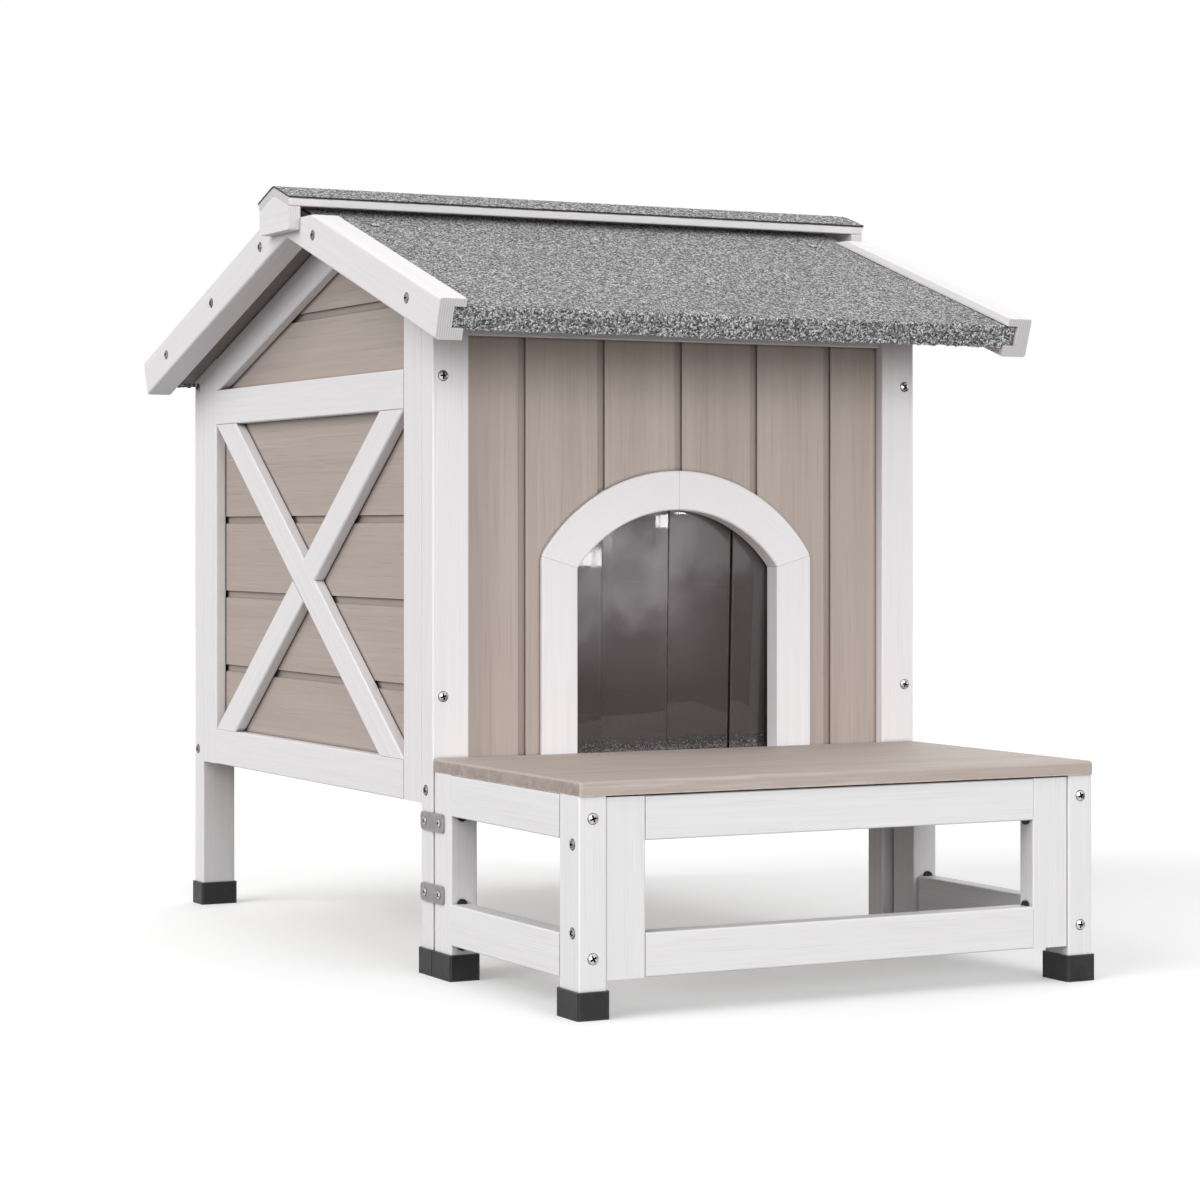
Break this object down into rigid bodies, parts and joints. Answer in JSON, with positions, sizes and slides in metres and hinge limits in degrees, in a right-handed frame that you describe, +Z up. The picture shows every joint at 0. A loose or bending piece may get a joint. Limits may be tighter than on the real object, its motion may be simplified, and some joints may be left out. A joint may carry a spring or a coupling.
{
  "type": "outdoor cat house",
  "caption": "Raised timber cat house with a felted gable roof, crossed-slat side panels, an arched doorway closed by a clear strip curtain, and a low front deck.",
  "frame": {"origin": "on the ground, in the middle of the whole house with its deck and roof", "axes": "+X to the right seen from the front, +Y from the deck to the back wall, +Z up"},
  "size_m": [0.623, 0.9166, 0.7131],
  "materials": {
    "white_timber": "satin",
    "taupe_timber": "matte",
    "natural_timber": "matte",
    "roof_felt": "matte",
    "clear_sheet": "gloss",
    "black_plastic": "matte",
    "zinc_steel": "satin",
    "black_steel": "satin"
  },
  "bodies": {
    "house": {"bargeboard_front_left": "white_timber", "bargeboard_front_right": "white_timber", "bargeboard_rear_left": "white_timber", "bargeboard_rear_right": "white_timber", "curtain_batten": "natural_timber", "curtain_heading": "clear_sheet", "deck_board": "taupe_timber", "deck_front_frame": "white_timber", "deck_legs_front": "white_timber", "deck_legs_rear": "white_timber", "deck_rear_rail": "white_timber", "deck_side_rails_left": "white_timber", "deck_side_rails_right": "white_timber", "door_arch_left": "white_timber", "door_arch_right": "white_timber", "door_jamb_left": "white_timber", "door_jamb_right": "white_timber", "door_sill": "white_timber", "floor_bearers": "natural_timber", "floor_panel": "natural_timber", "foot_caps": "black_plastic", "front_board_1": "taupe_timber", "front_board_2": "taupe_timber", "front_board_3": "taupe_timber", "front_board_4": "taupe_timber", "front_board_5": "taupe_timber", "front_board_6": "taupe_timber", "front_top_rail": "white_timber", "mending_plates": "zinc_steel", "post_front_left": "white_timber", "post_front_right": "white_timber", "post_rear_left": "white_timber", "post_rear_right": "white_timber", "rear_boards": "taupe_timber", "rear_rails": "white_timber", "ridge_end_blocks": "white_timber", "ridge_felt": "roof_felt", "ridge_wing_front": "white_timber", "ridge_wing_rear": "white_timber", "roof_board_front": "natural_timber", "roof_board_rear": "natural_timber", "roof_felt_front": "roof_felt", "roof_felt_rear": "roof_felt", "screws": "zinc_steel", "side_boards_left": "taupe_timber", "side_boards_right": "taupe_timber", "side_brace_left": "white_timber", "side_brace_right": "white_timber", "side_rafters_left": "white_timber", "side_rafters_right": "white_timber", "side_rails_left": "white_timber", "side_rails_right": "white_timber", "side_stiles_left": "white_timber", "side_stiles_right": "white_timber", "toe_screws": "black_steel"},
    "flap_1": {"curtain_flap_1": "clear_sheet"},
    "flap_2": {"curtain_flap_2": "clear_sheet"},
    "flap_3": {"curtain_flap_3": "clear_sheet"},
    "flap_4": {"curtain_flap_4": "clear_sheet"}
  },
  "joints": [
    {"name": "flap_1_bend", "type": "hinge", "parent": "house", "child": "flap_1", "pos_m": [-0.102, -0.14582, 0.4275], "axis": [1, 0, 0], "range_deg": [0, 75]},
    {"name": "flap_2_bend", "type": "hinge", "parent": "house", "child": "flap_2", "pos_m": [-0.034, -0.14582, 0.4275], "axis": [1, 0, 0], "range_deg": [0, 75]},
    {"name": "flap_3_bend", "type": "hinge", "parent": "house", "child": "flap_3", "pos_m": [0.034, -0.14582, 0.4275], "axis": [1, 0, 0], "range_deg": [0, 75]},
    {"name": "flap_4_bend", "type": "hinge", "parent": "house", "child": "flap_4", "pos_m": [0.102, -0.14582, 0.4275], "axis": [1, 0, 0], "range_deg": [0, 75]}
  ]
}
